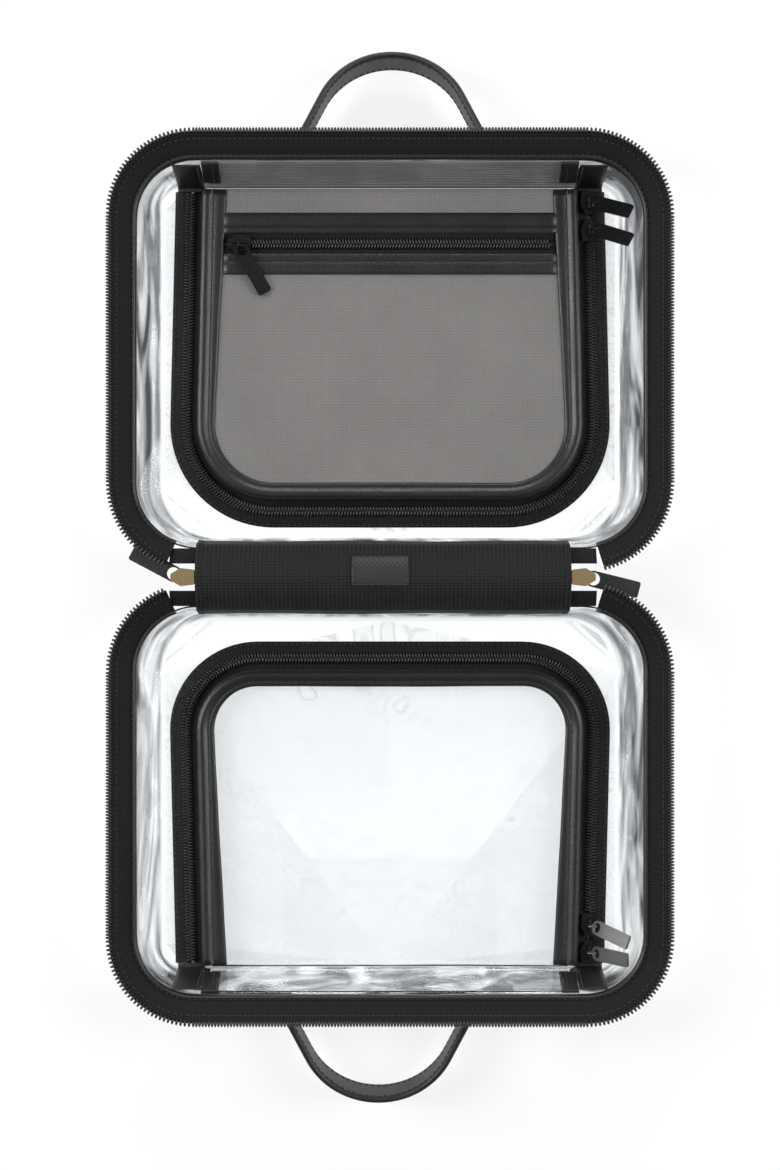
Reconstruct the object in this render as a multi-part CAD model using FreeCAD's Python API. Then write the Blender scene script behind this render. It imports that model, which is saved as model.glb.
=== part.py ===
import FreeCAD, Part
import math
import os

# A clear clamshell cosmetics case lying open flat. Millimetres, +Z up.
# X runs along the hinge line, the rear half lies towards +Y and the front half towards -Y.
# The rear half is drawn, and the front half mirrors it across the hinge line.

# Clear trays
tray_half_width = 132.0
tray_start = 14.5
tray_end = 216.0
wall_height = 38.0
side_draft = 10.0
handle_draft = 7.5
spine_draft = 5.0
wall_spine_radius = 34.0
wall_handle_radius = 32.0
floor_spine_radius = 30.0
floor_handle_radius = 14.0
floor_edge_radius = 4.0
sheet = 0.8

# Zip rim
tape_thickness = 0.9
tape_reach = 10.4
tape_rise = 7.4
tooth_pitch = 1.6
tooth_length = 1.4
tooth_band = 2.0
tooth_height = 2.0
seam_height = 4.5
seam_thickness = 0.9
mouth_height = 48.0

# Fabric spine strip and its patch
spine_centre = -3.5
spine_half_length = 95.5
spine_skirt = 16.0
spine_thickness = 0.8
patch_centre = -5.0
patch_length = 29.0
patch_front = -4.6
patch_rear = 10.6
patch_thickness = 1.0

# Zip sliders and their pulls
slider_length = 12.0
slider_narrow = 3.8
slider_wide = 4.6
slider_nose = 1.6
slider_shoulder = 1.0
slider_plate = 0.9
slider_flange = 0.45
slider_post = 1.0
bridge_half_span = 3.2
bridge_half_cross = 2.6
bridge_wire = 1.0
ring_radius = 2.2
ring_wire = 0.9
pull_width = 7.4
pull_eye = 5.2
pull_reach = 25.0
pull_thickness = 1.2
tab_pull_width = 8.4
tab_pull_eye = 6.6
tab_pull_reach = 24.0
tab_pull_thickness = 1.2

# Pocket zips
coil_gap = 1.3
coil_half_width = 3.1
coil_height = 2.2
coil_tape = 0.6
zip_lift = 2.4
outer_tape_reach = 8.5
outer_tape_flat = 3.0
leg_spine_half = 108.5
leg_handle_half = 104.5
pocket_start_rear = 35.0
pocket_start_front = 42.5
corner_radius_rear = 46.0
corner_radius_front = 38.0
gusset_foot = 5.2
gusset_head = 7.2
slider_a_place = 183.0
slider_b_place = 197.0
rear_pull_leans = ((-28, 46), (-26, 46))
front_pull_leans = ((18, 54), (0, 56))
slip_pull_lean = (-60, -9)
main_pull_azimuths = {"left": 152, "right": -14}
zip_end = 203.4

# Pocket flaps
flap_height = 10.0
flap_sheet = 0.6
flap_end = 203.9
binding_thickness = 1.6
binding_outer = 6.4
binding_spine_width = 9.0
binding_handle_width = 13.0
binding_round = 0.6

# Pocket roots and end tabs on the handle-side wall
root_foot = 204.7
root_drop = 0.8
root_binding_width = 9.0
root_binding_thickness = 1.4
root_binding_rise = 6.0
tab_width = 14.5
tab_thickness = 1.0
tab_lip = 203.0
tab_lip_length = 2.4
tab_standoff = 2.8

# Slip pocket on the rear flap
slip_place = 175.0
slip_half_opening = 5.2
slip_strip_width = 11.0
slip_strip_thickness = 1.0
slip_tape_reach = 9.0
slip_backing_drop = 3.0
slip_backing_start = 70.0
slip_zip_margin = 3.0
slip_slider_place = -79.0

# Strap handles
handle_foot = 70.0
handle_bend = 52.0
handle_shoulder = 25.0
handle_reach = 56.0
handle_thickness = 3.0
handle_width = 18.0
handle_bend_radius = 16.0
handle_crown_radius = 40.0
handle_cut = 46.0
handle_wall_place = 28.0
handle_shift_rear = 1.0
handle_shift_front = -6.0

# Fits
clearance = 0.3
seam_gap = 0.1

UP = FreeCAD.Vector(0, 0, 1)
RIGHT = FreeCAD.Vector(1, 0, 0)
BACK = FreeCAD.Vector(0, 1, 0)


def at(x, y, z=0.0):
    """A point."""
    return FreeCAD.Vector(x, y, z)


def corner_arc(before, corner, after, radius):
    """The start, middle and end of the arc that rounds one corner."""
    back = (before - corner).normalize()
    ahead = (after - corner).normalize()
    half = back.getAngle(ahead) / 2
    reach = radius / math.tan(half)
    middle = (back + ahead).normalize() * (radius / math.sin(half) - radius)
    return corner + back * reach, corner + middle, corner + ahead * reach


def rounded(points, radii, closed):
    """A wire of straight runs and tangent arcs through the points."""
    count = len(points)
    edges = []
    last = None
    first = None
    for i, (point, radius) in enumerate(zip(points, radii)):
        end_point = not closed and i in (0, count - 1)
        if radius > 0 and not end_point:
            start, middle, end = corner_arc(points[i - 1], point, points[(i + 1) % count], radius)
        else:
            start, middle, end = point, None, point
        if last is not None:
            edges.append(Part.LineSegment(last, start).toShape())
        else:
            first = start
        if middle is not None:
            edges.append(Part.Arc(start, middle, end).toShape())
        last = end
    if closed:
        edges.append(Part.LineSegment(last, first).toShape())
    return Part.Wire(edges)


def prism(wire, vector):
    """A solid from a flat closed wire pushed along a vector."""
    return Part.Face(wire).extrude(vector)


def polygon(points):
    """A closed wire of straight runs."""
    return Part.makePolygon(list(points) + [points[0]])


def block(low, high):
    """A box between two corners."""
    size = high - low
    return Part.makeBox(size.x, size.y, size.z, low)


def seat(shape, origin, first, third):
    """Moves a shape so that its own X runs along first and its own Z along third."""
    second = third.cross(first)
    matrix = FreeCAD.Matrix(
        first.x, second.x, third.x, origin.x,
        first.y, second.y, third.y, origin.y,
        first.z, second.z, third.z, origin.z,
        0, 0, 0, 1,
    )
    return shape.transformed(matrix)


def mirrored(shape):
    """The same piece on the front half."""
    return shape.mirror(at(0, 0), BACK)


def save(name, *shapes):
    """Writes one node."""
    shape = shapes[0] if len(shapes) == 1 else Part.makeCompound(list(shapes))
    shape.exportStep("parts/" + name + ".step")
    print(name, len(shape.Solids), round(shape.Volume, 1), shape.isValid())


# Trays


def plan(half_width, start, end, spine_radius, handle_radius, z):
    """A rounded rectangle that begins at the middle of the spine side."""
    points = [
        at(0, start, z),
        at(half_width, start, z),
        at(half_width, end, z),
        at(-half_width, end, z),
        at(-half_width, start, z),
    ]
    return rounded(points, [0, spine_radius, handle_radius, handle_radius, spine_radius], True)


def wall_plan(z, inset):
    """The tray's outline at a height, drawn in from its outer face."""
    low = 1 - z / wall_height
    spine_radius = wall_spine_radius - (wall_spine_radius - floor_spine_radius) * low
    handle_radius = wall_handle_radius - (wall_handle_radius - floor_handle_radius) * low
    return plan(
        tray_half_width - side_draft * low - inset,
        tray_start + spine_draft * low + inset,
        tray_end - handle_draft * low - inset,
        spine_radius - inset,
        handle_radius - inset,
        z,
    )


def rim_plan(reach, z):
    """An outline that stands out from the top of the tray's wall."""
    return plan(
        tray_half_width + reach,
        tray_start - reach,
        tray_end + reach,
        wall_spine_radius + reach,
        wall_handle_radius + reach,
        z,
    )


def loft(low, high):
    """A straight-sided solid between two outlines."""
    return Part.makeLoft([low, high], True, True)


def tray_block(inset):
    """The tray as a full block, with its floor edge rounded."""
    body = loft(wall_plan(inset, inset), wall_plan(wall_height, inset))
    rims = [edge for edge in body.Edges if edge.BoundBox.ZMax < inset + seam_gap]
    return body.makeFillet(floor_edge_radius - inset, rims)


def end_wall(z):
    """Where the inner face of the handle-side wall stands at a height."""
    return tray_end - handle_draft * (1 - z / wall_height) - sheet


tape_top = wall_height + tape_rise
tooth_foot = tape_top + seam_gap
rim_reach = tape_reach + tape_thickness + tooth_length
row_end = spine_half_length + slider_length + 2 * clearance


def spine_gap():
    """The stretch of the rim that the spine strip and the main sliders take."""
    low = at(spine_centre - row_end, 0, 0)
    high = at(spine_centre + row_end, tray_start + wall_spine_radius / 2, 2 * mouth_height)
    return block(low, high)


def teeth_row():
    """One row of coil teeth along the rim, cut off at the main sliders."""
    rail = rim_plan(rim_reach - tooth_length, tooth_foot)
    count = int(rail.Length / tooth_pitch)
    stations = rail.discretize(2 * count + 1)
    gap = spine_gap().BoundBox
    outer = []
    inner = []
    for i in range(2, 2 * count - 1, 2):
        if gap.isInside(stations[i]) or gap.isInside(stations[i + 1]):
            continue
        for j in (i, i + 1):
            along = (stations[j + 1] - stations[j - 1]).normalize()
            out = along.cross(UP)
            root = stations[j]
            tip = root + out * tooth_length
            outer += [root, tip] if j == i else [tip, root]
            inner.append(root - out * tooth_band)
    return prism(polygon(outer + inner[::-1]), UP * tooth_height)


tray = tray_block(0).cut(tray_block(sheet))
tape_outer = loft(rim_plan(0, wall_height), rim_plan(tape_reach, tape_top))
tape_inner = loft(rim_plan(-tape_thickness, wall_height), rim_plan(tape_reach - tape_thickness, tape_top))
rim_tape = tape_outer.cut(tape_inner).cut(spine_gap())
teeth = teeth_row()
seam_face = sheet + seam_gap
seam_foot = wall_height - seam_height
seam_outer = loft(wall_plan(seam_foot, seam_face), wall_plan(wall_height, seam_face))
seam_inset = seam_face + seam_thickness
seam_inner = loft(wall_plan(seam_foot, seam_inset), wall_plan(wall_height, seam_inset))
seam = seam_outer.cut(seam_inner).cut(spine_gap())

# Sliders and pulls, drawn with the chain along X, the mouths towards +X and the bridge upwards

coil_foot = zip_lift + coil_tape
channel_foot = zip_lift - clearance
channel_half = (coil_foot + coil_height + clearance - channel_foot) / 2
channel_middle = channel_foot + channel_half
slider_top = channel_half + slider_plate
bar_height = slider_top + clearance + ring_radius + ring_wire / 2
flange_foot = coil_foot + clearance - channel_middle
ring_offset = ring_radius - (ring_wire + bridge_wire) / 2 - clearance


def bridge(half_span):
    """The wire arch that holds the pull's ring."""
    foot = slider_top - slider_plate / 2
    points = [
        at(-half_span, 0, foot),
        at(-half_span, 0, bar_height),
        at(half_span, 0, bar_height),
        at(half_span, 0, foot),
    ]
    bend = bridge_wire
    path = rounded(points, [0, bend, bend, 0], False)
    section = Part.Wire([Part.makeCircle(bridge_wire / 2, points[0], UP)])
    return path.makePipeShell([section], True, False)


def slider(bridge_across):
    """A slider body: two shield plates, side flanges, the wedge post between them and the bridge."""
    half = slider_length / 2
    points = [
        at(-half, -slider_narrow),
        at(slider_shoulder, -slider_wide),
        at(half, -slider_nose),
        at(half, slider_nose),
        at(slider_shoulder, slider_wide),
        at(-half, slider_narrow),
    ]
    shield = rounded(points, [slider_plate, slider_plate, slider_nose / 2] * 2, True)
    plate = prism(shield, UP * slider_plate)
    top = plate.translated(UP * channel_half)
    bottom = plate.translated(UP * -slider_top)
    body = top.fuse(bottom)
    for side in (-1, 1):
        flange = polygon([
            at(-half + slider_plate, side * slider_narrow, flange_foot),
            at(slider_shoulder, side * slider_wide, flange_foot),
            at(slider_shoulder, side * (slider_wide - slider_flange), flange_foot),
            at(-half + slider_plate, side * (slider_narrow - slider_flange), flange_foot),
        ])
        body = body.fuse(prism(flange, UP * (channel_half - flange_foot)))
    post_low = at(slider_shoulder, -slider_post / 2, -channel_half)
    post_high = at(half - slider_plate, slider_post / 2, channel_half)
    body = body.fuse(block(post_low, post_high))
    if bridge_across:
        arch = bridge(bridge_half_cross).rotated(at(0, 0), UP, 90)
    else:
        arch = bridge(bridge_half_span)
    return body.fuse(arch).common(shield_space(shield, arch)).removeSplitter()


def shield_space(shield, arch):
    """The room that a slider's body fills, so that flanges keep to the shield's outline."""
    column = prism(shield, UP * 2 * slider_top).translated(UP * -slider_top)
    return column.fuse(arch)


def pull_plate(width, eye, reach, thickness):
    """A flat pull with its eye at the origin and its tip along +X."""
    half = width / 2
    points = [at(reach, -half), at(reach, half), at(-half, half), at(-half, -half)]
    near = half - seam_gap
    plate = prism(rounded(points, [thickness, thickness, near, near], True), UP * thickness)
    hole = Part.makeCylinder(eye / 2, thickness)
    return plate.cut(hole).translated(UP * (-thickness / 2))


def hung_pull(bar, side, lean, plate, rim):
    """A ring on the slider's bar and the plate that hangs on it, leaning along a direction."""
    across = side.cross(UP)
    ring = Part.makeTorus(ring_radius, ring_wire / 2, bar + side * ring_offset, across)
    hook = bar + side * (2 * ring_offset)
    level = UP.cross(lean).normalize()
    return ring, seat(plate, hook + lean * rim, lean, lean.cross(level))


def direction(azimuth, tilt):
    """A unit vector from its turn about +Z and its rise, in degrees."""
    turn = math.radians(azimuth)
    rise = math.radians(tilt)
    return at(math.cos(turn) * math.cos(rise), math.sin(turn) * math.cos(rise), math.sin(rise))


metal_pull = pull_plate(pull_width, pull_eye, pull_reach, pull_thickness)
metal_rim = (pull_width + pull_eye) / 4
tab_pull = pull_plate(tab_pull_width, tab_pull_eye, tab_pull_reach, tab_pull_thickness)
tab_rim = (tab_pull_width + tab_pull_eye) / 4

# Pocket zips, flaps and roots


def leg_half(y, start):
    """Half the distance between a pocket zip's two legs at a place along them."""
    share = (y - start) / (zip_end - start)
    return leg_spine_half + (leg_handle_half - leg_spine_half) * share


def leg_direction(start):
    """The way that the right leg runs, from the spine to the handle."""
    return at(leg_handle_half - leg_spine_half, zip_end - start).normalize()


def zip_points(start, offset, left_end, right_end, z):
    """The corners of the U that a pocket zip follows, drawn in by an offset."""
    lean = leg_direction(start)
    shift = offset / lean.y
    low = start + offset
    return [
        at(-leg_half(left_end, start) + shift, left_end, z),
        at(-leg_half(low, start) + shift, low, z),
        at(leg_half(low, start) - shift, low, z),
        at(leg_half(right_end, start) - shift, right_end, z),
    ]


def zip_route(start, radius, offset, left_end, right_end, z=0.0):
    """The open U path of a pocket zip."""
    points = zip_points(start, offset, left_end, right_end, z)
    return rounded(points, [0, radius - offset, radius - offset, 0], False)


def swept(start, radius, left_end, right_end, section):
    """A strip that follows the pocket zip. Its section is (offset inwards, height) points."""
    path = zip_route(start, radius, 0, left_end, right_end)
    foot = path.Vertexes[0].Point
    lean = leg_direction(start)
    inward = at(lean.y, lean.x)
    profile = polygon([foot + inward * offset + UP * z for offset, z in section])
    return path.makePipeShell([profile], True, False)


def inside(start, radius, offset, end, z):
    """The closed outline inside the zip, cut straight at the handle side."""
    points = zip_points(start, offset, end, end, z)
    return rounded(points, [0, radius - offset, radius - offset, 0], True)


coil_top = coil_foot + coil_height
coil_round = coil_height / 3
outer_tape_section = [
    (-outer_tape_reach, sheet + seam_gap),
    (-outer_tape_reach, sheet + seam_gap + coil_tape),
    (-outer_tape_reach + outer_tape_flat, sheet + seam_gap + coil_tape),
    (-gusset_foot, coil_foot),
    (-coil_gap / 2, coil_foot),
    (-coil_gap / 2, zip_lift),
    (-gusset_foot, zip_lift),
    (-outer_tape_reach + outer_tape_flat, sheet + seam_gap),
]
gusset_section = [
    (coil_gap / 2, zip_lift),
    (coil_gap / 2, coil_foot),
    (gusset_foot, coil_foot),
    (gusset_head, flap_height),
    (gusset_head + coil_tape, flap_height),
    (gusset_foot + coil_tape, zip_lift),
]


def coil_section(side):
    """Half of the joined chain, on one side of its middle."""
    return [
        (side * coil_gap / 2, coil_foot),
        (side * coil_gap / 2, coil_top - coil_round),
        (side * (coil_gap / 2 + coil_round), coil_top),
        (side * (coil_half_width - coil_round), coil_top),
        (side * coil_half_width, coil_top - coil_round),
        (side * coil_half_width, coil_foot),
    ]


panel_offset = gusset_head + coil_tape + seam_gap
parked = slider_a_place - slider_length / 2 - clearance
coil_end = tab_lip - clearance


def flap_binding(start, radius):
    """The padded border of a flap, wider towards the handle."""
    outer = zip_points(start, binding_outer, flap_end, flap_end, flap_height)
    inner = zip_points(start, binding_outer + binding_spine_width, flap_end, flap_end, flap_height)
    extra = binding_handle_width - binding_spine_width
    inner[0] = inner[0] + RIGHT * extra
    inner[3] = inner[3] - RIGHT * extra
    bend = radius - binding_outer
    tight = bend - binding_spine_width
    points = outer + inner[::-1]
    face = Part.Face(rounded(points, [0, bend, bend, 0, 0, tight, tight, 0], True))
    body = face.extrude(UP * binding_thickness)
    top = flap_height + binding_thickness - seam_gap
    crest = [edge for edge in body.Edges if edge.BoundBox.ZMin > top]
    return body.makeFillet(binding_round, crest)


def wall_sheet(low_y, low_z, thickness, standoff, half_width, x):
    """A sheet that climbs the handle-side wall from a foot, at a distance from the wall's inner face."""
    high_z = seam_foot + seam_height - clearance
    high_y = end_wall(high_z) - seam_face - seam_thickness + sheet - standoff
    profile = polygon([
        at(x - half_width, low_y, low_z),
        at(x - half_width, high_y, high_z),
        at(x - half_width, high_y - thickness, high_z),
        at(x - half_width, low_y - thickness, low_z),
    ])
    return prism(profile, RIGHT * 2 * half_width)


def end_tab(x):
    """The stitched tab that covers a zip's end and climbs the wall."""
    high_z = wall_height - clearance
    high_y = end_wall(high_z) - seam_thickness - tab_standoff
    left = x - tab_width / 2
    foot = coil_foot + seam_gap
    profile = polygon([
        at(left, tab_lip, foot),
        at(left, tab_lip + tab_lip_length + tab_thickness, foot),
        at(left, high_y, high_z),
        at(left, high_y - tab_thickness, high_z),
        at(left, tab_lip + tab_lip_length, foot + tab_thickness),
        at(left, tab_lip, foot + tab_thickness),
    ])
    return prism(profile, RIGHT * tab_width)


def pocket(start, radius):
    """Every piece that the two pockets share, by its name."""
    pieces = {}
    pieces["pocket_outer_tape"] = [swept(start, radius, zip_end, zip_end, outer_tape_section)]
    pieces["pocket_outer_coil"] = [swept(start, radius, coil_end, parked, coil_section(-1))]
    pieces["flap_tape"] = [swept(start, radius, coil_end, parked, gusset_section)]
    pieces["flap_coil"] = [swept(start, radius, coil_end, parked, coil_section(1))]
    pieces["flap_binding"] = [flap_binding(start, radius)]
    low = flap_height - flap_sheet
    panel = prism(inside(start, radius, panel_offset, flap_end, low), UP * flap_sheet)
    pieces["flap_panel"] = [panel]
    leg = leg_half(zip_end, start)
    pieces["pocket_end_tabs"] = [end_tab(-leg), end_tab(leg)]
    root_low = flap_height - root_drop
    root_half = leg - tab_width / 2 - clearance
    root_sheet = wall_sheet(root_foot + flap_sheet, root_low, flap_sheet, clearance, root_half, 0)
    pieces["pocket_root"] = [root_sheet]
    edge = root_half - root_binding_width / 2
    binding_low = flap_height + binding_thickness
    bindings = []
    for side in (-1, 1):
        strip = wall_sheet(root_foot, binding_low, root_binding_thickness,
                           clearance + flap_sheet, root_binding_width / 2, side * edge)
        corner = at(tray_half_width, tray_end, binding_low + root_binding_rise)
        foot = block(at(-tray_half_width, 0, 0), corner)
        bindings.append(strip.cut(foot))
    pieces["pocket_root_binding"] = bindings
    return pieces


def leg_slider(start, place, mouth):
    """A slider on the right leg, its mouths towards the handle (1) or the spine (-1)."""
    spot = at(leg_half(place, start), place, channel_middle)
    return seat(slider(False), spot, leg_direction(start) * mouth, UP)


def leg_pull(start, place, azimuth, tilt):
    """The ring and plate on a slider of the right leg."""
    bar = at(leg_half(place, start), place, channel_middle + bar_height)
    side = leg_direction(start).cross(UP)
    return hung_pull(bar, side, direction(azimuth, tilt), metal_pull, metal_rim)


# Slip pocket on the rear flap

slip_tape_foot = flap_height - flap_sheet - coil_tape
slip_lift = slip_tape_foot - zip_lift
slip_half = leg_half(slip_place, pocket_start_rear) - binding_outer - binding_handle_width - clearance


def slip_bar(y_low, y_high, z_low, z_high, half):
    """A straight strip of the slip zip."""
    return block(at(-half, y_low, z_low), at(half, y_high, z_high))


def slip_pocket(panel):
    """The pieces of the slip pocket, and the mesh panel cut open for it."""
    pieces = {}
    opening = slip_bar(slip_place - slip_half_opening, slip_place + slip_half_opening,
                       0, mouth_height, tray_half_width)
    pieces["flap_mesh"] = panel.cut(opening).Solids
    top = flap_height + slip_strip_thickness
    strips = []
    tapes = []
    coils = []
    coil_low = slip_tape_foot + coil_tape
    for side in (-1, 1):
        strip_reaches = (slip_half_opening, slip_half_opening + slip_strip_width)
        ends = sorted(slip_place + side * reach for reach in strip_reaches)
        strips.append(slip_bar(ends[0], ends[1], flap_height, top, slip_half))
        ends = sorted(slip_place + side * reach for reach in (coil_gap / 2, slip_tape_reach))
        tapes.append(slip_bar(ends[0], ends[1], slip_tape_foot, coil_low, slip_half))
        ends = sorted(slip_place + side * reach for reach in (coil_gap / 2, coil_half_width))
        half = slip_half - slip_zip_margin
        coils.append(slip_bar(ends[0], ends[1], coil_low, coil_low + coil_height, half))
    pieces["slip_strips"] = strips
    pieces["slip_tapes"] = tapes
    pieces["slip_coil"] = coils
    backing_top = flap_height - slip_backing_drop
    outline = inside(pocket_start_rear, corner_radius_rear, panel_offset, flap_end, backing_top - flap_sheet)
    sheet_block = prism(outline, UP * flap_sheet)
    keep = slip_bar(slip_backing_start, flap_end, 0, mouth_height, tray_half_width)
    pieces["slip_backing"] = [sheet_block.common(keep)]
    return pieces


# Strap handles


def strap(shift):
    """The strap lying flat: sewn feet along the wall, and the bell-shaped arch between them."""
    middle = handle_thickness / 2
    corners = [
        (-handle_foot, middle),
        (-handle_bend, middle),
        (-handle_shoulder, handle_reach),
        (handle_shoulder, handle_reach),
        (handle_bend, middle),
        (handle_foot, middle),
    ]
    points = [at(x, y) for x, y in corners]
    radii = [0, handle_bend_radius, handle_crown_radius, handle_crown_radius, handle_bend_radius, 0]
    path = rounded(points, radii, False)
    half_width = handle_width / 2
    section = polygon([
        at(-handle_foot, 0, -half_width),
        at(-handle_foot, handle_thickness, -half_width),
        at(-handle_foot, handle_thickness, half_width),
        at(-handle_foot, 0, half_width),
    ])
    body = path.makePipeShell([section], True, False)
    lean = math.degrees(math.atan2(handle_draft, wall_height))
    place = at(shift, end_wall(handle_wall_place) + sheet + seam_gap, handle_wall_place)
    return body.rotated(at(0, 0), RIGHT, -lean).translated(place), place


def handle(shift):
    """The arch that swings, and the two feet that stay sewn to the wall."""
    body, place = strap(shift)
    room = 2 * tray_end
    low = at(shift - handle_cut, 0, -room)
    high = at(shift + handle_cut, room, room)
    grip = body.common(block(low, high))
    slot = block(low - RIGHT * clearance, high + RIGHT * clearance)
    return grip, body.cut(slot).Solids


# Spine


def spine_arc(radius, centre_z, half_chord):
    """The crest of the spine strip's section."""
    foot_z = centre_z + math.sqrt(radius ** 2 - half_chord ** 2)
    crest = at(0, 0, centre_z + radius)
    return Part.Arc(at(0, -half_chord, foot_z), crest, at(0, half_chord, foot_z)).toShape()


crest_top = mouth_height + spine_thickness / 2
strip_foot_y = tray_start + sheet + clearance + spine_thickness
strip_sag = crest_top - wall_height
crest_radius = (strip_foot_y ** 2 + strip_sag ** 2) / (2 * strip_sag)
crest_centre = crest_top - crest_radius


def spine_strip():
    """The fabric strip: an arched crest over the hinge line and a skirt down each spine-side wall."""
    half = strip_foot_y
    skirt_z = wall_height - spine_skirt
    drop = spine_draft * spine_skirt / wall_height
    top = spine_arc(crest_radius, crest_centre, half)
    inner_radius = crest_radius - spine_thickness
    inner_half = half - spine_thickness
    low = spine_arc(inner_radius, crest_centre, inner_half)
    a, b = top.Vertexes[0].Point, top.Vertexes[1].Point
    c, d = low.Vertexes[0].Point, low.Vertexes[1].Point
    a_foot = at(0, -half - drop, skirt_z)
    b_foot = at(0, half + drop, skirt_z)
    c_foot = at(0, -inner_half - drop, skirt_z)
    d_foot = at(0, inner_half + drop, skirt_z)
    runs = [(b, b_foot), (b_foot, d_foot), (d_foot, d)]
    back = [(c, c_foot), (c_foot, a_foot), (a_foot, a)]
    edges = [top] + [Part.LineSegment(p, q).toShape() for p, q in runs]
    edges += [low] + [Part.LineSegment(p, q).toShape() for p, q in back]
    wire = Part.Wire(Part.__sortEdges__(edges))
    left = spine_centre - spine_half_length
    return prism(wire, RIGHT * 2 * spine_half_length).translated(RIGHT * left)


def spine_patch():
    """The sewn patch, bent over the crest."""
    inner = crest_radius + seam_gap
    outer = inner + patch_thickness
    left = patch_centre - patch_length / 2
    centre = at(left, 0, crest_centre)
    ring = Part.makeCylinder(outer, patch_length, centre, RIGHT)
    ring = ring.cut(Part.makeCylinder(inner, patch_length, centre, RIGHT))
    low = at(left, patch_front, crest_centre)
    high = at(left + patch_length, patch_rear, crest_centre + 2 * outer)
    return ring.common(block(low, high))


main_channel = mouth_height - channel_half


def chain_end(side):
    """The short joined chain between a main slider and the spine strip."""
    tip = spine_centre + side * (spine_half_length + slider_length / 2)
    tail = tip - side * slider_length
    xs = sorted((tip, tail))
    coil_high = main_channel - (coil_foot - channel_middle)
    body = block(at(xs[0], -coil_half_width, coil_high - coil_height), at(xs[1], coil_half_width, coil_high))
    return body


def main_slider(side):
    """A main slider at one end of the spine, its bridge facing down and its mouths outwards."""
    spot = at(spine_centre + side * (spine_half_length + clearance + slider_length / 2), 0, main_channel)
    return seat(slider(True), spot, RIGHT * side, -UP)


def main_pull(side, azimuth):
    """The ring and tab pull under a main slider."""
    spot = spine_centre + side * (spine_half_length + clearance + slider_length / 2)
    bar = at(spot, 0, main_channel - bar_height)
    return hung_pull(bar, RIGHT * side, direction(azimuth, 0), tab_pull, tab_rim)


# Build

os.makedirs("parts", exist_ok=True)

for half, place in (("rear", lambda shape: shape), ("front", mirrored)):
    save(half + "_tray", place(tray))
    save(half + "_rim_tape", place(rim_tape))
    save(half + "_rim_teeth", place(teeth))
    save(half + "_seam_binding", place(seam))
    shift = handle_shift_rear if half == "rear" else handle_shift_front
    grip, feet = handle(shift)
    save(half + "_handle", place(grip))
    save(half + "_handle_feet", *[place(foot) for foot in feet])
    start = pocket_start_rear if half == "rear" else pocket_start_front
    radius = corner_radius_rear if half == "rear" else corner_radius_front
    pieces = pocket(start, radius)
    if half == "rear":
        pieces.update(slip_pocket(pieces.pop("flap_panel")[0]))
    for name, shapes in pieces.items():
        save(half + "_" + name, *[place(shape) for shape in shapes])
    leans = rear_pull_leans if half == "rear" else front_pull_leans
    for letter, spot, mouth, lean in zip("ab", (slider_a_place, slider_b_place), (1, -1), leans):
        save(half + "_slider_" + letter, place(leg_slider(start, spot, mouth)))
        ring, plate = leg_pull(start, spot, *lean)
        save(half + "_pull_" + letter, place(ring), place(plate))

save("spine_strip", spine_strip())
save("spine_patch", spine_patch())
save("chain_ends", chain_end(-1), chain_end(1))
for name, side in (("left", -1), ("right", 1)):
    save(name + "_main_slider", main_slider(side))
    ring, plate = main_pull(side, main_pull_azimuths[name])
    save(name + "_main_ring", ring)
    save(name + "_main_pull", plate)

slip_spot = at(slip_slider_place, slip_place, channel_middle + slip_lift)
save("slip_slider", seat(slider(False), slip_spot, -RIGHT, UP))
ring, plate = hung_pull(slip_spot + UP * bar_height, -BACK, direction(*slip_pull_lean), metal_pull, metal_rim)
save("slip_pull", ring, plate)
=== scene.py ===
import math

import bmesh
import bpy
from mathutils import Matrix, Vector


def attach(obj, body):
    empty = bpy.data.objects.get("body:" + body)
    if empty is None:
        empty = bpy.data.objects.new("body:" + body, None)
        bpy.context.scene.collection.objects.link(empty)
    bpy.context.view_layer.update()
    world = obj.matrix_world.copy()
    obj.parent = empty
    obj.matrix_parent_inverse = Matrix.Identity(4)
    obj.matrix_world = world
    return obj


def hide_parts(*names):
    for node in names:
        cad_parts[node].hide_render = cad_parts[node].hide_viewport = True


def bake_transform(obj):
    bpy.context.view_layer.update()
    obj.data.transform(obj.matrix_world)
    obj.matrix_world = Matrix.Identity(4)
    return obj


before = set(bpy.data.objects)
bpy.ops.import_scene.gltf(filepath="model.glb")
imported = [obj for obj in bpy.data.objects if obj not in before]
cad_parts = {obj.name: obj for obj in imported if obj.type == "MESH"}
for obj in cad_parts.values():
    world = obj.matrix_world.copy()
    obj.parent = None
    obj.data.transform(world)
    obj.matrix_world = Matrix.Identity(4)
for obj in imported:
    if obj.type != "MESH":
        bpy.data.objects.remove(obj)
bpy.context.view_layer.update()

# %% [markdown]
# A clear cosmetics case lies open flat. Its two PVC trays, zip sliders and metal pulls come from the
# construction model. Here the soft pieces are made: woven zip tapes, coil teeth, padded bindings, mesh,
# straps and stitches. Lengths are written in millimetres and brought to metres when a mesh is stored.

MM = 0.001
HALVES = (("rear", 1), ("front", -1))

# %% [markdown]
# Every finish is a small node tree on Object coordinates or on two attributes that the strips carry:
# "along" runs down a strip and "across" runs over it, both in millimetres. A weave or a rib can then
# follow a strip round its corners, which a flat projection can't do.

# %% Node helpers


def finish(name):
    """A new material with its node tree, shader and output."""
    mat = bpy.data.materials.new(name)
    mat.use_nodes = True
    tree = mat.node_tree
    return mat, tree, tree.nodes["Principled BSDF"]


def node(tree, kind, inputs=(), **settings):
    """Adds a node, sets its properties and fills its inputs with values or links."""
    made = tree.nodes.new(kind)
    for key, value in settings.items():
        setattr(made, key, value)
    for key, value in dict(inputs).items():
        if isinstance(value, bpy.types.NodeSocket):
            tree.links.new(value, made.inputs[key])
        else:
            made.inputs[key].default_value = value
    return made


def object_place(tree):
    """The point on the piece, in metres."""
    return node(tree, "ShaderNodeTexCoord").outputs["Object"]


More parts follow.
